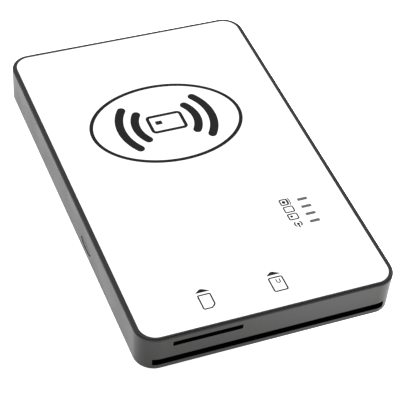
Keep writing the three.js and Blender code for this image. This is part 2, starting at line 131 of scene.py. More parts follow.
def start_material(name):
    """A new node material: the material, a maker of nodes, a linker and its shader."""
    material = bpy.data.materials.new(name)
    material.use_nodes = True
    tree = material.node_tree

    def add(kind, **values):
        node = tree.nodes.new("ShaderNode" + kind)
        for key, value in values.items():
            if key in node.inputs:
                node.inputs[key].default_value = value
            else:
                setattr(node, key, value)
        return node

    return material, add, tree.links.new, tree.nodes["Principled BSDF"]


def add_noise(add, link, size, detail=3.0, stretch=(1.0, 1.0, 1.0)):
    """Noise whose blobs are about size millimetres across."""
    coordinates = add("TexCoord")
    mapping = add("Mapping", Scale=stretch)
    noise = add("TexNoise", Scale=1.0 / (size * MM), Detail=detail)
    link(coordinates.outputs["Object"], mapping.inputs["Vector"])
    link(mapping.outputs["Vector"], noise.inputs["Vector"])
    return noise.outputs["Fac"]


def add_ramp(add, link, factor, stops):
    """A colour ramp with stops of (place, colour)."""
    ramp = add("ValToRGB")
    elements = ramp.color_ramp.elements
    while len(elements) < len(stops):
        elements.new(0.5)
    for element, (place, colour) in zip(elements, stops):
        element.position = place
        element.color = (*colour, 1.0)
    link(factor, ramp.inputs["Fac"])
    return ramp.outputs["Color"]


def add_range(add, link, value, low, high):
    """The middle of a noise's range, spread over low to high."""
    spread = add("MapRange")
    spread.inputs["From Min"].default_value = 0.3
    spread.inputs["From Max"].default_value = 0.7
    spread.inputs["To Min"].default_value = low
    spread.inputs["To Max"].default_value = high
    link(value, spread.inputs["Value"])
    return spread.outputs["Result"]


def grained(name, dark, light, roughness, grain=0.3, relief=0.004, metallic=0.0, specular=0.5,
            stretch=(1.0, 1.0, 1.0), vary=0.03):
    """A moulded, painted or metal surface: grain in its colour and relief, drift in its gloss."""
    material, add, link, shader = start_material(name)
    shader.inputs["Metallic"].default_value = metallic
    shader.inputs["Specular IOR Level"].default_value = specular
    fine = add_noise(add, link, grain, stretch=stretch)
    broad = add_noise(add, link, 8.0, detail=2.0)
    link(add_ramp(add, link, fine, [(0.3, dark), (0.7, light)]), shader.inputs["Base Color"])
    link(add_range(add, link, broad, roughness - vary, roughness + vary), shader.inputs["Roughness"])
    bump = add("Bump", Strength=0.5, Distance=relief * MM)
    link(fine, bump.inputs["Height"])
    link(bump.outputs["Normal"], shader.inputs["Normal"])
    return material


def grey(value, warmth=0.0):
    """A grey colour, a little warmer or cooler."""
    return (value * (1 + warmth), value, value * (1 - warmth))


PAINT_LOOK = {"dark": grey(0.019, 0.02), "light": grey(0.029, 0.02), "grain": 0.16, "relief": 0.003,
              "specular": 0.2}
CASE_PAINT = grained("case_paint", roughness=0.36, **PAINT_LOOK)
# Inside faces of the case: black moulding, made far darker than any plastic so that the slots, hollows
# and holes carry painted shade.
INNER_BLACK_AND_PAINTED_SHADE = grained("inner_black_and_painted_shade", grey(0.0008), grey(0.0018), 0.7, grain=0.4, specular=0.0)
BORDER_PLASTIC = grained("border_plastic", grey(0.012), grey(0.019), 0.42, grain=0.3,
                         relief=0.002, specular=0.25)
PANEL_FILM = grained("panel_film", grey(0.93), grey(0.97), 0.28, grain=0.25, relief=0.0008, vary=0.04)
INK = grained("ink", grey(0.009), grey(0.014), 0.6, grain=0.12, relief=0.001, specular=0.08)
LENS = grained("lens", grey(0.075), grey(0.13), 0.3, grain=0.2, relief=0.001, specular=0.3)
BUTTON_PAINT = grained("button_paint", roughness=0.4, **PAINT_LOOK)
STEEL = grained("steel", grey(0.46), grey(0.62), 0.28, grain=0.25, metallic=1.0, stretch=(1, 6, 1))
SCREW_STEEL = grained("screw_steel", grey(0.20), grey(0.30), 0.34, grain=0.12, metallic=1.0)
GOLD = grained("gold", (0.72, 0.44, 0.13), (0.88, 0.60, 0.22), 0.26, grain=0.15, metallic=1.0)
PAPER = grained("paper", grey(0.62, 0.01), grey(0.70, 0.01), 0.72, grain=0.35, relief=0.006,
                specular=0.25)
CONNECTOR_BLACK = grained("connector_black", grey(0.010), grey(0.020), 0.48, grain=0.2, relief=0.004)
CONNECTOR_CREAM = grained("connector_cream", (0.70, 0.64, 0.48), (0.82, 0.76, 0.60), 0.46, grain=0.2)
CHIP_BLACK = grained("chip_black", grey(0.009), grey(0.018), 0.58, grain=0.1, relief=0.005)
LED_BODY = grained("led_body", (0.78, 0.74, 0.60), (0.88, 0.85, 0.74), 0.4, grain=0.2)
FERRITE = grained("ferrite", grey(0.018), grey(0.032), 0.66, grain=0.3, relief=0.006)
FOAM = grained("foam", grey(0.010), grey(0.030), 0.9, grain=0.25, relief=0.05, specular=0.15)
WIRE_RED = grained("wire_red", (0.42, 0.012, 0.010), (0.52, 0.018, 0.014), 0.42, grain=0.3)
WIRE_BLACK = grained("wire_black", grey(0.010), grey(0.018), 0.42, grain=0.3)


def wrinkled_foil():
    """The laminated pouch of the cell: bright metal with soft creases."""
    material, add, link, shader = start_material("foil")
    shader.inputs["Metallic"].default_value = 1.0
    creases = add_noise(add, link, 5.0, detail=5.0, stretch=(1.0, 0.45, 1.0))
    metal = add_ramp(add, link, creases, [(0.35, grey(0.55)), (0.65, grey(0.78))])
    link(metal, shader.inputs["Base Color"])
    link(add_range(add, link, creases, 0.26, 0.42), shader.inputs["Roughness"])
    bump = add("Bump", Strength=0.6, Distance=0.15 * MM)
    link(creases, bump.inputs["Height"])
    link(bump.outputs["Normal"], shader.inputs["Normal"])
    return material


def circuit_board():
    """Green solder mask over copper tracks, which run along one axis in some patches only."""
    material, add, link, shader = start_material("circuit_board")

    def calculate(operation, first, second):
        """A maths node on a socket and a second socket or number."""
        node = add("Math", operation=operation)
        link(first, node.inputs[0])
        if isinstance(second, float):
            node.inputs[1].default_value = second
        else:
            link(second, node.inputs[1])
        return node.outputs["Value"]

    mask, copper = (0.010, 0.085, 0.040), (0.030, 0.170, 0.075)
    bands_per_metre, track_share, patch_size = 0.16 / MM, 0.86, 4.0
    coordinates = add("TexCoord")
    tracks = []
    for direction, side in (("X", "GREATER_THAN"), ("Y", "LESS_THAN")):
        wave = add("TexWave", bands_direction=direction, Scale=bands_per_metre, Distortion=0.0)
        link(coordinates.outputs["Object"], wave.inputs["Vector"])
        line = calculate("GREATER_THAN", wave.outputs["Fac"], track_share)
        where = calculate(side, add_noise(add, link, patch_size, detail=1.0), 0.5)
        tracks.append(calculate("MULTIPLY", line, where))
    both = calculate("MAXIMUM", *tracks)
    link(add_ramp(add, link, both, [(0.0, mask), (1.0, copper)]), shader.inputs["Base Color"])
    link(add_range(add, link, add_noise(add, link, 2.0), 0.3, 0.42), shader.inputs["Roughness"])
    bump = add("Bump", Strength=0.5, Distance=0.03 * MM)
    link(both, bump.inputs["Height"])
    link(bump.outputs["Normal"], shader.inputs["Normal"])
    return material


FOIL = wrinkled_foil()
BOARD = circuit_board()


# ---------------------------------------------------------------- outlines and solids

def arc_points(x, y, radius, start, end, steps=24):
    """Points (x, y) along an arc from start to end, in degrees."""
    angles = [radians(start + (end - start) * i / steps) for i in range(steps + 1)]
    return [(x + radius * cos(a), y + radius * sin(a)) for a in angles]


def disc(x, y, radius, steps=20):
    """Points round a full circle."""
    return arc_points(x, y, radius, 0, 360 - 360 / steps, steps - 1)


def oval(x, y, half_x, half_y, steps):
    """Points round an ellipse."""
    return [(x + half_x * u, y + half_y * v) for u, v in disc(0.0, 0.0, 1.0, steps)]


def rounded_loop(half_u, half_v, radius, centre=(0.0, 0.0), steps=CORNER_STEPS, sides=(1, 1)):
    """Points (u, v) anticlockwise round a rounded rectangle, with its straight sides split in sides."""
    corners = ((1, 1), (-1, 1), (-1, -1), (1, -1))
    arcs = []
    for quarter, (sign_u, sign_v) in enumerate(corners):
        middle_u = centre[0] + sign_u * (half_u - radius)
        middle_v = centre[1] + sign_v * (half_v - radius)
        angles = [(quarter + step / steps) * pi / 2 for step in range(steps + 1)]
        arcs.append([(middle_u + radius * cos(a), middle_v + radius * sin(a)) for a in angles])
    loop = []
    for quarter, arc in enumerate(arcs):
        loop += arc
        (u0, v0), (u1, v1) = arc[-1], arcs[(quarter + 1) % 4][0]
        pieces = sides[quarter % 2]
        loop += [(u0 + (u1 - u0) * i / pieces, v0 + (v1 - v0) * i / pieces) for i in range(1, pieces)]
    return loop


def case_loop(inset, z, front_out=0.0, back_out=None):
    """A loop round the case, drawn in by inset, with its front and back ends then moved out."""
    back_out = front_out if back_out is None else back_out
    half_y = HALF_Y - inset + (front_out + back_out) / 2
    middle = (0.0, (back_out - front_out) / 2)
    loop = rounded_loop(HALF_X - inset, half_y, CORNER_RADIUS - inset, middle)
    return [(x, y, z) for x, y in loop]


def round_edge(inset, z, radius, start, end, steps=6):
    """Profile points (inset, z) on a round edge: -90 degrees is its underside, 0 outside, 90 on top."""
    angles = [radians(start + (end - start) * i / steps) for i in range(steps + 1)]
    return [(inset - radius * cos(a), z + radius * sin(a)) for a in angles]


def bridge(mesh, below, above):
    """Joins two rings of vertices with a band of faces."""
    for i in range(len(below)):
        j = (i + 1) % len(below)
        mesh.faces.new((below[i], below[j], above[j], above[i]))


def loft(loops):
    """A closed mesh through loops of points, capped at both ends."""
    mesh = bmesh.new()
    rings = [[mesh.verts.new(point) for point in loop] for loop in loops]
    for below, above in zip(rings, rings[1:]):
        bridge(mesh, below, above)
    mesh.faces.new(rings[0])
    mesh.faces.new(rings[-1])
    return mesh


def case_loft(profile, ends_out=0.0):
    """A closed mesh that follows the case outline through profile points (inset, z)."""
    return loft([case_loop(inset, z, ends_out) for inset, z in profile])


def plate(x, y, width, length, radius, z0, z1, edge=0.0, steps=6):
    """A closed rounded rectangular plate. edge rounds its upper and lower rims."""
    profile = [(0.0, z0), (0.0, z1)]
    if edge:
        profile = round_edge(edge, z0 + edge, edge, -90, 0, 3)
        profile += round_edge(edge, z1 - edge, edge, 0, 90, 3)
    return loft([[(px, py, z) for px, py in rounded_loop(width / 2 - inset, length / 2 - inset,
                                                         radius - inset, (x, y), steps)]
                 for inset, z in profile])


def bar(x0, x1, y0, y1, z0, z1, edge=0.0):
    """A block between two corners, with rounded edges if edge is given."""
    radius = max(edge * 1.01, 0.02)
    return plate((x0 + x1) / 2, (y0 + y1) / 2, x1 - x0, y1 - y0, radius, z0, z1, edge, 3)


def turned(x, y, profile, steps=40):
    """A closed turned solid about an upright axis, through profile points (radius, z)."""
    angles = [2 * pi * i / steps for i in range(steps)]
    return loft([[(x + r * cos(a), y + r * sin(a), z) for a in angles] for r, z in profile])


def solid(mesh, finish=0):
    """A working object made of a closed mesh, with one material number."""
    for face in mesh.faces:
        face.material_index = finish
    bmesh.ops.recalc_face_normals(mesh, faces=mesh.faces)
    data = bpy.data.meshes.new("solid")
    mesh.to_mesh(data)
    mesh.free()
    # Material number 0 is the case paint, number 1 the near-black inside, which carries painted shade.
    data.materials.append(CASE_PAINT)
    data.materials.append(INNER_BLACK_AND_PAINTED_SHADE)
    made = bpy.data.objects.new("solid", data)
    scene.collection.objects.link(made)
    return made


def combine(base, tools, operation):
    """Joins working objects to base, or cuts them from it."""
    for tool in tools:
        step = base.modifiers.new("combine", "BOOLEAN")
        step.operation = operation
        step.solver = "EXACT"
        step.object = tool
    graph = bpy.context.evaluated_depsgraph_get()
    base.data = bpy.data.meshes.new_from_object(base.evaluated_get(graph))
    base.modifiers.clear()
    for tool in tools:
        bpy.data.objects.remove(tool)
    return base


def cut(base, meshes, finish=0):
    """Cuts closed meshes from base. The new faces get this material number."""
    return combine(base, [solid(mesh, finish) for mesh in meshes], "DIFFERENCE")


def unite(base, meshes, finish=0):
    """Joins closed meshes to base, with this material number."""
    return combine(base, [solid(mesh, finish) for mesh in meshes], "UNION")


def as_piece(made, name, materials, body="case", replaces=()):
    """Names a working object, scales it to metres, shades it and lets it ride on a body.

    Each face keeps its material number, which picks one of materials.
    """
    made.name = name
    made.data.name = name
    made.data.transform(Matrix.Scale(MM, 4))
    finishes = [face.material_index for face in made.data.polygons]
    made.data.materials.clear()
    for material in materials:
        made.data.materials.append(material)
    made.data.polygons.foreach_set("material_index", [min(i, len(materials) - 1) for i in finishes])
    made.data.polygons.foreach_set("use_smooth", [True] * len(made.data.polygons))
    made.data.set_sharp_from_angle(angle=radians(SHARP_EDGE))
    normals = made.modifiers.new("flat_faces_stay_flat", "WEIGHTED_NORMAL")
    normals.keep_sharp = True
    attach(made, body)
    if replaces:
        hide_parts(*replaces)


# ---------------------------------------------------------------- casing

def lean(z, draft):
    """How far a wall with this draft leans in at height z."""
    low, high = FOOT_RADIUS, RIM_Z - RIM_RADIUS
    return draft * min(1.0, max(0.0, (high - z) / (high - low)))


def on_front_wall(x, z, depth):
    """The point at depth behind the front wall's outer face, which turns with the corners."""
    radius = CORNER_RADIUS - lean(z, SIDE_DRAFT)
    past_corner = max(0.0, abs(x) - (HALF_X - CORNER_RADIUS))
    reach = HALF_Y - lean(z, END_DRAFT) - radius + sqrt(radius ** 2 - past_corner ** 2)
    return (x, depth - reach, z)


def on_side_wall(side):
    """The same for the left wall, side -1, or the right wall, side 1."""
    def place(y, z, depth):
        return (side * (HALF_X - lean(z, SIDE_DRAFT) - depth), y, z)
    return place


def opening(outline, place, flare, depth):
    """The mesh that cuts an opening with a rounded mouth to this depth in a wall.

    outline(growth) gives points (u, z), and place puts them on the wall at a depth.
    """
    outside, skim = -1.0, 0.003
    angles = [radians(15 * i) for i in range(7)]
    mouth = [(flare * (1 - cos(a)) - skim, flare * (1 - sin(a))) for a in angles]
    sections = [(outside, flare)] + mouth + [(depth, 0.0)]
    return loft([[place(u, z, d) for u, z in outline(growth)] for d, growth in sections])


def slot_outline(slot, pieces):
    """The outline of a slot, with its long sides split in pieces so that they can turn a corner."""
    middle = ((slot["x0"] + slot["x1"]) / 2, (slot["z0"] + slot["z1"]) / 2)
    half_x, half_z = (slot["x1"] - slot["x0"]) / 2, (slot["z1"] - slot["z0"]) / 2

    def outline(growth):
        corner = slot["corner"] + growth
        return rounded_loop(half_x + growth, half_z + growth, corner, middle, 4, (pieces, 1))
    return outline


def button_outline(growth):
    """The oval outline (y, z) of the button's opening."""
    return oval(BUTTON["y"], BUTTON["z"], BUTTON["half_y"] + growth, BUTTON["half_z"] + growth, 56)


def port_outline(growth):
    """The outline (y, z) of the charging inlet's opening."""
    half_y, half_z = PORT_HALF[0] + PORT_GAP + growth, PORT_HALF[1] + PORT_GAP + growth
    return rounded_loop(half_y, half_z, 1.0 + growth, PORT_MIDDLE, 10)


def build_case_shell():
    """The tray, with filleted edges, drafted walls, rounded slots, card guides and screw seats."""
    foot = round_edge(SIDE_DRAFT + FOOT_RADIUS, FOOT_RADIUS, FOOT_RADIUS, -90, 0)
    rim = round_edge(RIM_RADIUS, RIM_Z - RIM_RADIUS, RIM_RADIUS, 0, 90)
    foot_out = SIDE_DRAFT - END_DRAFT
    loops = [case_loop(inset, z, foot_out) for inset, z in foot] + [case_loop(*point) for point in rim]
    shell = solid(loft(loops))
    inner_corner = 0.6
    hollow = round_edge(WALL + inner_corner, FLOOR + inner_corner, inner_corner, -90, 0)
    hollow += [(WALL, SEAT_Z), (SEAT_INSET, SEAT_Z), (SEAT_INSET, RIM_Z + 1)]
    cut(shell, [case_loft(hollow)], 1)

    # What stands on the floor or against a wall starts 0.1 inside it.
    under = FLOOR - 0.1
    inner_x, guide_x, guide_end, ledge_x = HALF_X - WALL + 0.1, 27.2, -45.5, 27.8
    guides = []
    for side in (-1, 1):
        section = [(inner_x, guide_end), (guide_x + 0.5, guide_end), (guide_x, guide_end + 3),
                   (guide_x, CARD_STOP_Y), (inner_x, CARD_STOP_Y)]
        guides.append(loft([[(side * x, y, z) for x, y in section] for z in (under, CARD_SLOT["z1"])]))
    stop_back, stop_top, board_z = CARD_STOP_Y + 1.2, 4.2, 4.65
    stops = [bar(x0, x1, CARD_STOP_Y, stop_back, under, stop_top, 0.15)
             for x0, x1 in ((-24, -16), (-4, 6), (14, 24))]
    ledges = []
    for side, y0, y1 in ((1, -43, -36), (1, -6, -3), (1, 13.2, 14.4),
                         (-1, -43, -36), (-1, -6, -3), (-1, 6, 12)):
        x0, x1 = sorted((side * ledge_x, side * inner_x))
        ledges.append(bar(x0, x1, y0, y1, under, board_z, 0.1))
    seats = [turned(x, y, [(2.6, under), (2.6, 2.5), (2.5, 2.6)]) for _, x, y in SCREWS]
    unite(shell, guides + stops + ledges + seats, 1)

    clear_y, clear_top = 4.7, 5
    # The faces cut here take number 1: near-black, so painted shade fills the slots, button opening and
    # inlet.
    cut(shell, [opening(slot_outline(CARD_SLOT, 60), on_front_wall, SLOT_FLARE, CUT_DEPTH),
                opening(slot_outline(MODULE_SLOT, 8), on_front_wall, SLOT_FLARE, CUT_DEPTH),
                opening(button_outline, on_side_wall(-1), 0.04, CUT_DEPTH),
                opening(port_outline, on_side_wall(1), 0.15, CUT_DEPTH),
                bar(-HALF_X + WALL, -ledge_x, BUTTON["y"] - clear_y, BUTTON["y"] + clear_y,
                    FLOOR + 0.1, clear_top)], 1)

    margin = 0.4
    recess = [plate(LABEL_MIDDLE.x, LABEL_MIDDLE.y, LABEL_SIZE.x + margin, LABEL_SIZE.y + margin, 1.5,
                    -1, 0.15)]
    counterbores = [turned(x, y, [(2.3, -1), (2.3, 0), (2.16, 0.06), (2.1, 0.16), (2.1, 1.0)])
                    for _, x, y in SCREWS]
    holes = [turned(x, y, [(1.15, 0.5), (1.15, 3.0)]) for _, x, y in SCREWS]
    cut(shell, recess, 0)
    cut(shell, counterbores + holes, 1)
    as_piece(shell, "case_shell", [CASE_PAINT, INNER_BLACK_AND_PAINTED_SHADE], replaces=["rear_case"])


def border_loop(inset, z):
    """A loop of the border, which leaves a fine ledge of the case showing along its front."""
    across = min(1.0, (inset - BORDER_OUTER) / (BORDER_INNER - BORDER_OUTER))
    return case_loop(inset, z, across * PANEL_OUT - (1 - across) * FRONT_LEDGE, across * PANEL_OUT)


def build_cover_border():
    """The dark cover: a raised border round the panel, the plate that carries it, bosses and hooks."""
    web, shoulder = 0.6, 0.16
    bottom, lip_z, top = 8.05, RIM_Z + 0.02, COVER_HIGH.z
    profile = [(BORDER_OUTER, lip_z)]
    profile += round_edge(BORDER_OUTER + shoulder, top - 0.04 - shoulder, shoulder, 0, 80, 6)
    profile += [(BORDER_INNER - 0.04, top), (BORDER_INNER, top - 0.02)]
    cover = solid(case_loft([(web, bottom), (web, lip_z + 0.05)]))
    unite(cover, [loft([border_loop(inset, z) for inset, z in profile])])
    plate_top = PANEL_LOW.z - PANEL_GAP
    cut(cover, [case_loft([(BORDER_INNER, plate_top), (BORDER_INNER, top + 1)], PANEL_OUT)])
    bosses = [turned(x, y, [(2.0, 2.7), (2.1, 2.8), (2.1, bottom + 0.2)]) for _, x, y in SCREWS]
    hooks = [bar(x0, x1, -HALF_Y + WALL + 0.2, -HALF_Y + WALL + 0.9, 5.8, bottom + 0.2, 0.1)
             for x0, x1 in ((1, 7), (17, 23))]
    unite(cover, bosses + hooks)
    window_length, window_width = LIGHT_LENGTH + 0.5, LIGHT_WIDTH + 0.45
    windows = [plate(x, y, window_length, window_width, 0.3, 7, 9) for _, x, y in LIGHTS]
    threads = [turned(x, y, [(1.0, 2), (1.0, 6.8)]) for _, x, y in SCREWS]
    cut(cover, windows + threads)
    as_piece(cover, "cover_border", [BORDER_PLASTIC], replaces=["top_cover"])


def build_face_panel():
    """The white printed face, with a fine rounded edge and a window for each status light."""
    edge = 0.06
    profile = [(PANEL_INSET, PANEL_LOW.z)]
    profile += round_edge(PANEL_INSET + edge, PANEL_TOP - edge, edge, 0, 90, 4)
    panel = solid(case_loft(profile, PANEL_OUT))
    gap = 0.08
    cut(panel, [plate(x, y, LIGHT_LENGTH + gap, LIGHT_WIDTH + gap, 0.2, 8, 10) for _, x, y in LIGHTS])
    as_piece(panel, "face_panel", [PANEL_FILM], replaces=["front_panel"])


build_case_shell()
build_cover_border()
build_face_panel()


# ---------------------------------------------------------------- printed marks

def sections_along(points, width, closed):
    """Pairs of points on the two sides of a path, with round ends if it is open."""
    count = len(points)
    pairs = []
    for i, (x, y) in enumerate(points):
        before = points[(i - 1) % count if closed else max(i - 1, 0)]
        after = points[(i + 1) % count if closed else min(i + 1, count - 1)]
        run = hypot(after[0] - before[0], after[1] - before[1])
        along = ((after[0] - before[0]) / run, (after[1] - before[1]) / run)
        pairs.append(((x, y), along, width / 2))
    if not closed:
        turns = [radians(18 * i) for i in range(1, 6)]
        for end, sign in ((0, -1), (-1, 1)):
            (x, y), (ax, ay), half = pairs[end]
            cap = [((x + sign * half * sin(a) * ax, y + sign * half * sin(a) * ay), (ax, ay),
                    half * max(cos(a), 0.02)) for a in turns]
            pairs = cap[::-1] + pairs if sign < 0 else pairs + cap
    return [((x - ay * h, y + ax * h), (x + ay * h, y - ax * h)) for (x, y), (ax, ay), h in pairs]


def add_stroke(mesh, points, width, closed=False):
    """Adds a printed line of even width as a closed, barely raised ribbon."""
    rings = []
    for left, right in sections_along(points, width, closed):
        corners = [(*left, INK_BOTTOM), (*right, INK_BOTTOM), (*right, INK_TOP), (*left, INK_TOP)]
        rings.append([mesh.verts.new(corner) for corner in corners])
    joined = list(zip(rings, rings[1:])) + ([(rings[-1], rings[0])] if closed else [])
    for ring, following in joined:
        bridge(mesh, ring, following)
    if not closed:
        mesh.faces.new(rings[0])
        mesh.faces.new(rings[-1])


def add_patch(mesh, points, bottom=INK_BOTTOM, top=INK_TOP):
    """Adds a filled shape, as thick as the ink unless its bottom and top are given."""
    rings = [[mesh.verts.new((x, y, z)) for x, y in points] for z in (bottom, top)]
    bridge(mesh, *rings)
    for ring in rings:
        mesh.faces.new(ring)


def print_piece(mesh, name):
    """Makes a piece of printed ink that rides on the case."""
    as_piece(solid(mesh), name, [INK])


def print_tap_zone():
    """An oval ring round a plain card with broad arcs on either side of it."""
    x, y = -0.91, 15.11
    half_x, half_y, ring_line, card_line, arc_line = 18.61, 13.19, 0.92, 0.85, 2.1
    mesh = bmesh.new()
    add_stroke(mesh, oval(x, y, half_x, half_y, 120), ring_line, True)
    add_stroke(mesh, rounded_loop(4.2, 2.75, 0.75, (x, y), 8), card_line, True)
    add_patch(mesh, rounded_loop(0.85, 0.65, 0.2, (x - 1.9, y + 0.35), 4))
    for radius, spread in ((7.7, 36), (11.5, 37)):
        for middle in (0, 180):
            add_stroke(mesh, arc_points(x, y, radius, middle - spread, middle + spread), arc_line)
    print_piece(mesh, "print_tap_zone")


def print_status_icons():
    """A small generic sign beside each status light: tap, card, chip card and radio."""
    mesh = bmesh.new()
    x, line, fine_line, half_y, corner = 15.57, 0.34, 0.26, 0.87, 0.28
    tap_y, card_y, chip_card_y, radio_y = [y + 0.15 for _, _, y in LIGHTS]
    for middle, half_x in (((x - 0.3, tap_y), 0.85), ((x, card_y), 1.12), ((x, chip_card_y), 1.12)):
        add_stroke(mesh, rounded_loop(half_x, half_y, corner, middle, 5), line, True)
    add_patch(mesh, disc(x - 0.3, tap_y, 0.45))
    for radius in (2.4, 2.85):
        add_stroke(mesh, arc_points(x - 1.65, tap_y, radius, -21, 21, 8), fine_line)
    add_patch(mesh, disc(x - 0.35, chip_card_y + 0.1, 0.34))
    mast_x, mast_y = x + 0.2, radio_y - 0.05
    add_stroke(mesh, [(mast_x, mast_y), (mast_x, mast_y - 1.05)], line)
    add_patch(mesh, disc(mast_x, mast_y, 0.36))
    for middle in (0, 180):
        add_stroke(mesh, arc_points(mast_x, mast_y, 0.85, middle - 45, middle + 45, 8), line)
    print_piece(mesh, "print_status_icons")


def print_insert_marks():
    """Above the slots: a module with a cut corner and a chip card, each under an arrowhead."""
    mesh = bmesh.new()
    line, fine_line, middle_y, half_y = 0.36, 0.26, -41.3, 1.98
    module_x, module_half, card_x, card_half = -12.8, 1.43, 4.05, 1.58
    top, bottom = middle_y + half_y, middle_y - half_y

    left, right, cut_corner = module_x - module_half, module_x + module_half, 0.95
    module = [(left + 0.1, top), (left, top - 0.1), (left, bottom + 0.15), (left + 0.15, bottom)]
    module += [(right - cut_corner, bottom), (right - 0.25, bottom + 0.55)]
    module += [(right, bottom + cut_corner), (right, top - 0.1), (right - 0.1, top)]
    add_stroke(mesh, module, line, True)

    chip_x, chip_y, chip_half = card_x + 0.35, top - 1.3, 0.4
    chip = [(chip_x - chip_half, chip_y + 0.6)] + arc_points(chip_x, chip_y, chip_half, 180, 360, 8)
    add_stroke(mesh, rounded_loop(card_half, half_y, 0.35, (card_x, middle_y), 5), line, True)
    add_stroke(mesh, chip + [(chip_x + chip_half, chip_y + 0.6)], fine_line)

    base, shoulder, apex, half = top + 0.75, top + 0.88, top + 1.7, 1.6
    for x in (module_x, card_x):
        add_patch(mesh, [(x - half, base), (x + half, base), (x + half, shoulder), (x + 0.1, apex),
                         (x - 0.45, apex), (x - half, shoulder)])
    print_piece(mesh, "print_insert_marks")


print_tap_zone()
print_status_icons()
print_insert_marks()


# ---------------------------------------------------------------- lights, button, inlet, screws, label

def build_light_lens(number, x, y):
    """A smoked bar that fills its window, on a flange under the cover and a foot over its light."""
    lens = solid(plate(x, y, LIGHT_LENGTH, LIGHT_WIDTH, 0.18, 7.9, PANEL_TOP - 0.01, 0.04))
    flange = plate(x, y, 3.4, 1.7, 0.3, 7.55, 8.0, 0.05)
    foot = plate(x, y, 2.0, 0.9, 0.2, 6.4, 7.6, 0.05)
    unite(lens, [flange, foot])
    as_piece(lens, f"light_lens_{number}", [LENS], replaces=[f"status_light_{number}"])


def build_button_cap():
    """The power key: a crowned cap on a flange, with a nose that meets the switch."""
    face_x, back_x, edge, crown = BUTTON_LOW.x, -28.6, 0.08, 0.03
    shoulder_x = face_x + crown
    half_z = BUTTON["half_z"] - BUTTON["gap"]
    profile = [(0.0, back_x), (0.0, shoulder_x + edge)]
    profile += [(edge * (1 - cos(radians(a))), shoulder_x + edge * (1 - sin(radians(a))))
                for a in (30, 60, 90)]
    profile += [(0.35, face_x + 0.02), (half_z - 0.05, face_x)]
    loops = [[(x, y, z) for y, z in button_outline(-BUTTON["gap"] - inset)] for inset, x in profile]
    cap = solid(loft(loops))
    middle_y = BUTTON["y"]

    def flange(x):
        return [(x, y, z) for y, z in rounded_loop(4.2, 1.45, 0.6, (middle_y, BUTTON["z"]), 6)]

    nose = bar(-28.4, BUTTON_HIGH.x, middle_y - 1, middle_y + 1, 3.5, 4.3, 0.08)
    unite(cap, [loft([flange(-28.8), flange(-28.3)]), nose])
    as_piece(cap, "button_cap", [BUTTON_PAINT], "power_button", ["power_button"])


def build_inlet():
    """The charging inlet: a drawn steel shell with a rolled lip, its tongue and two rows of contacts."""
    wall, lip, corner = 0.3, 0.15, 0.75
    back, mouth = PORT_LOW.x, PORT_HIGH.x
    middle_y, middle_z = PORT_MIDDLE

    def loop(x, inset):
        half_y, half_z = PORT_HALF[0] - inset, PORT_HALF[1] - inset
        return [(x, y, z) for y, z in rounded_loop(half_y, half_z, corner - inset, PORT_MIDDLE, 10)]

    rolled = [(mouth - lip + lip * sin(radians(a)), lip - lip * cos(radians(a)))
              for a in range(0, 181, 30)]
    sections = [(back, 0.06), (back + 0.06, 0.0)] + rolled + [(back + wall, wall)]
    shell = solid(loft([loop(x, inset) for x, inset in sections]))
    as_piece(shell, "inlet_shell", [STEEL], replaces=["charging_port"])

    tip, under, over = mouth - 0.85, middle_z - 0.1, middle_z + 0.55
    root_half_y, root_half_z, tongue_half_y = 2.9, 0.85, 2.2
    tongue = solid(bar(back + 0.4, back + 1.2, middle_y - root_half_y, middle_y + root_half_y,
                       middle_z - root_half_z, middle_z + root_half_z, 0.05))
    unite(tongue, [bar(back + 1.1, tip, middle_y - tongue_half_y, middle_y + tongue_half_y,
                       under, over, 0.08)])
    as_piece(tongue, "inlet_tongue", [CONNECTOR_BLACK], replaces=["charging_tongue"])

    contacts, pitch, half_width, columns = bmesh.new(), 0.5, 0.13, 8
    x0, x1, proud, sunk = back + 1.5, tip - 0.4, 0.02, 0.01
    for column in range(columns):
        y = middle_y + (column - (columns - 1) / 2) * pitch
        y0, y1 = y - half_width, y + half_width
        outline = [(x0, y0), (x1, y0), (x1, y1), (x0, y1)]
        add_patch(contacts, outline, over - sunk, over + proud)
        add_patch(contacts, outline, under - proud, under + sunk)
    as_piece(solid(contacts), "inlet_contacts", [GOLD])


def build_screw(number, x, y):
    """A pan-head screw with a cross recess, threaded into the cover's boss."""
    low, high = cad_box_mm(f"case_screw_{number}")
    head_z, head_top, head_radius = low.z, low.z + 0.85, 1.9
    pitch, core, crest, axis = 0.6, 0.72, 0.9, 0.02
    profile = [(axis, head_z), (1.2, head_z), (1.55, head_z + 0.08), (1.8, head_z + 0.28),
               (head_radius, head_z + 0.5), (head_radius, head_top), (core, head_top)]
    turns = int((high.z - head_top - 0.5) / pitch)
    for turn in range(turns):
        z = head_top + 0.2 + turn * pitch
        profile += [(core, z), (crest, z + pitch * 0.4), (crest, z + pitch * 0.5),
                    (core, z + pitch * 0.9)]
    profile += [(core, high.z - 0.4), (0.3, high.z), (axis, high.z)]
    screw = solid(turned(x, y, profile))
    recess = [(0.0, head_z - 0.2), (0.0, head_z), (0.06, head_z + 0.4), (0.2, head_z + 0.55)]
    arm, half_width, corner = 1.15, 0.26, 0.05
    arms = []
    for along, across in ((arm, half_width), (half_width, arm)):
        arms.append(loft([[(px, py, z) for px, py in rounded_loop(along - inset, across - inset, corner,
                                                                  (x, y), 3)]
                          for inset, z in recess]))
    cut(screw, arms)
    as_piece(screw, f"screw_{number}", [SCREW_STEEL], replaces=[f"case_screw_{number}"])


def build_label():
    """The blank rating label in its shallow recess under the case."""
    corner, edge = 1.3, 0.02
    label = solid(plate(LABEL_MIDDLE.x, LABEL_MIDDLE.y, LABEL_SIZE.x, LABEL_SIZE.y, corner,
                        LABEL_LOW.z, LABEL_HIGH.z, edge, 10))
    as_piece(label, "blank_label", [PAPER], replaces=["rear_label"])


for light_place in LIGHTS:
    build_light_lens(*light_place)
build_button_cap()
build_inlet()
for screw_place in SCREWS:
    build_screw(*screw_place)
build_label()


# ---------------------------------------------------------------- finishes of the CAD parts inside

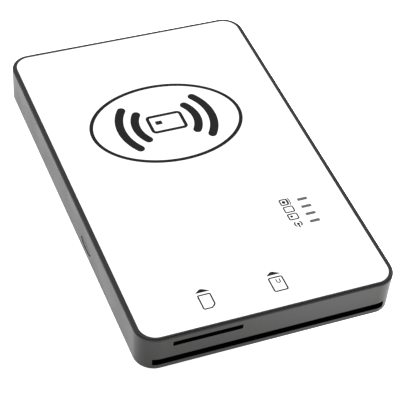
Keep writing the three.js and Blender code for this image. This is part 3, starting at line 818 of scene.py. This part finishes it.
FINISH_OF_SLOT = {
    "case_grey": CASE_PAINT, "trim_dark": BORDER_PLASTIC, "panel_white": PANEL_FILM, "clear_lens": LENS,
    "led_body": LED_BODY, "board_green": BOARD, "ferrite": FERRITE, "foil": FOIL, "foam": FOAM,
    "connector_black": CONNECTOR_BLACK, "connector_cream": CONNECTOR_CREAM, "gold": GOLD, "steel": STEEL,
    "chip_black": CHIP_BLACK, "wire_red": WIRE_RED, "wire_black": WIRE_BLACK, "label_paper": PAPER,
}


def finish_cad_nodes():
    """Gives each CAD part the finish of its record slot, with softly broken edges."""
    for material in frame["record"]["materials"]:
        for name in material.get("nodes", []):
            node = frame["nodes"][name]
            node.data.materials.clear()
            node.data.materials.append(FINISH_OF_SLOT[material["slot"]])
            if node.hide_render:
                continue
            weld = node.modifiers.new("weld", "WELD")
            weld.merge_threshold = 1e-7
            edges = node.modifiers.new("broken_edges", "BEVEL")
            edges.width = 0.04 * MM
            edges.segments = 2
            edges.angle_limit = radians(40)
            edges.harden_normals = True


finish_cad_nodes()


# ---------------------------------------------------------------- stage, light and camera

def build_stage():
    """A wide, plain, pale floor that glows, so that it carries almost no shadow.

    It glows more at the right than at the left, and less within a few millimetres of the front
    wall, which mirrors it: that shades the wall.
    """
    half = 3.0
    mesh = bmesh.new()
    bmesh.ops.create_grid(mesh, x_segments=8, y_segments=8, size=half)
    data = bpy.data.meshes.new("floor")
    mesh.to_mesh(data)
    mesh.free()
    floor = bpy.data.objects.new("floor", data)
    scene.collection.objects.link(floor)
    material, add, link, shader = start_material("floor_white")
    base = add_ramp(add, link, add_noise(add, link, 40.0), [(0.3, grey(0.78)), (0.7, grey(0.82))])
    link(base, shader.inputs["Base Color"])
    shader.inputs["Roughness"].default_value = 0.9
    shader.inputs["Specular IOR Level"].default_value = 0.0
    place = add("SeparateXYZ")
    link(add("TexCoord").outputs["Object"], place.inputs["Vector"])
    glow = add("MapRange", interpolation_type="SMOOTHSTEP")
    for name, value in (("From Min", -0.022), ("From Max", 0.022), ("To Min", 0.98), ("To Max", 2.25)):
        glow.inputs[name].default_value = value
    link(place.outputs["X"], glow.inputs["Value"])
    link(glow.outputs["Result"], shader.inputs["Emission Strength"])
    across_front, reach = add("MapRange"), 5.0
    across_front.inputs["From Min"].default_value = -(HALF_Y + reach) * MM
    across_front.inputs["From Max"].default_value = -(HALF_Y - reach) * MM
    link(place.outputs["Y"], across_front.inputs["Value"])
    stops = [(0.0, grey(1.0)), (0.5, grey(0.5)), (1.0, grey(1.0))]
    link(add_ramp(add, link, across_front.outputs["Result"], stops), shader.inputs["Emission Color"])
    data.materials.append(material)


def build_lighting():
    """An even white room, and one large soft light overhead."""
    world = bpy.data.worlds.new("white_room")
    scene.world = world
    world.use_nodes = True
    background = world.node_tree.nodes["Background"]
    background.inputs["Color"].default_value = (1.0, 1.0, 1.0, 1.0)
    background.inputs["Strength"].default_value = 1.0

    light = bpy.data.lights.new("overhead", "AREA")
    light.shape = "SQUARE"
    light.size = 0.5
    light.energy = 2.0
    lamp = bpy.data.objects.new("overhead", light)
    lamp.location = (0.05, -0.05, 0.8)
    lamp.rotation_mode = "QUATERNION"
    lamp.rotation_quaternion = (-lamp.location).to_track_quat("-Z", "Y")
    scene.collection.objects.link(lamp)
    scene.view_settings.view_transform = "Standard"


def build_camera():
    """The viewpoint: in front of the slotted edge, a little to the left, half way up."""
    aim = Vector((-2.929, -12.035, PANEL_HIGH.z)) * MM
    distance = 364.7 * MM
    azimuth, elevation, roll = radians(-25.609), radians(44.689), radians(5.924)
    back = Vector((sin(azimuth) * cos(elevation), -cos(azimuth) * cos(elevation), sin(elevation)))
    data = bpy.data.cameras.new("camera")
    data.sensor_width = 36.0
    data.lens = 143.08
    data.clip_start = 0.01
    data.clip_end = 20.0
    camera = bpy.data.objects.new("camera", data)
    camera.rotation_mode = "QUATERNION"
    camera.location = aim + back * distance
    camera.rotation_quaternion = (-back).to_track_quat("-Z", "Y") @ Quaternion((0, 0, 1), roll)
    scene.collection.objects.link(camera)
    scene.camera = camera


build_stage()
build_lighting()
build_camera()
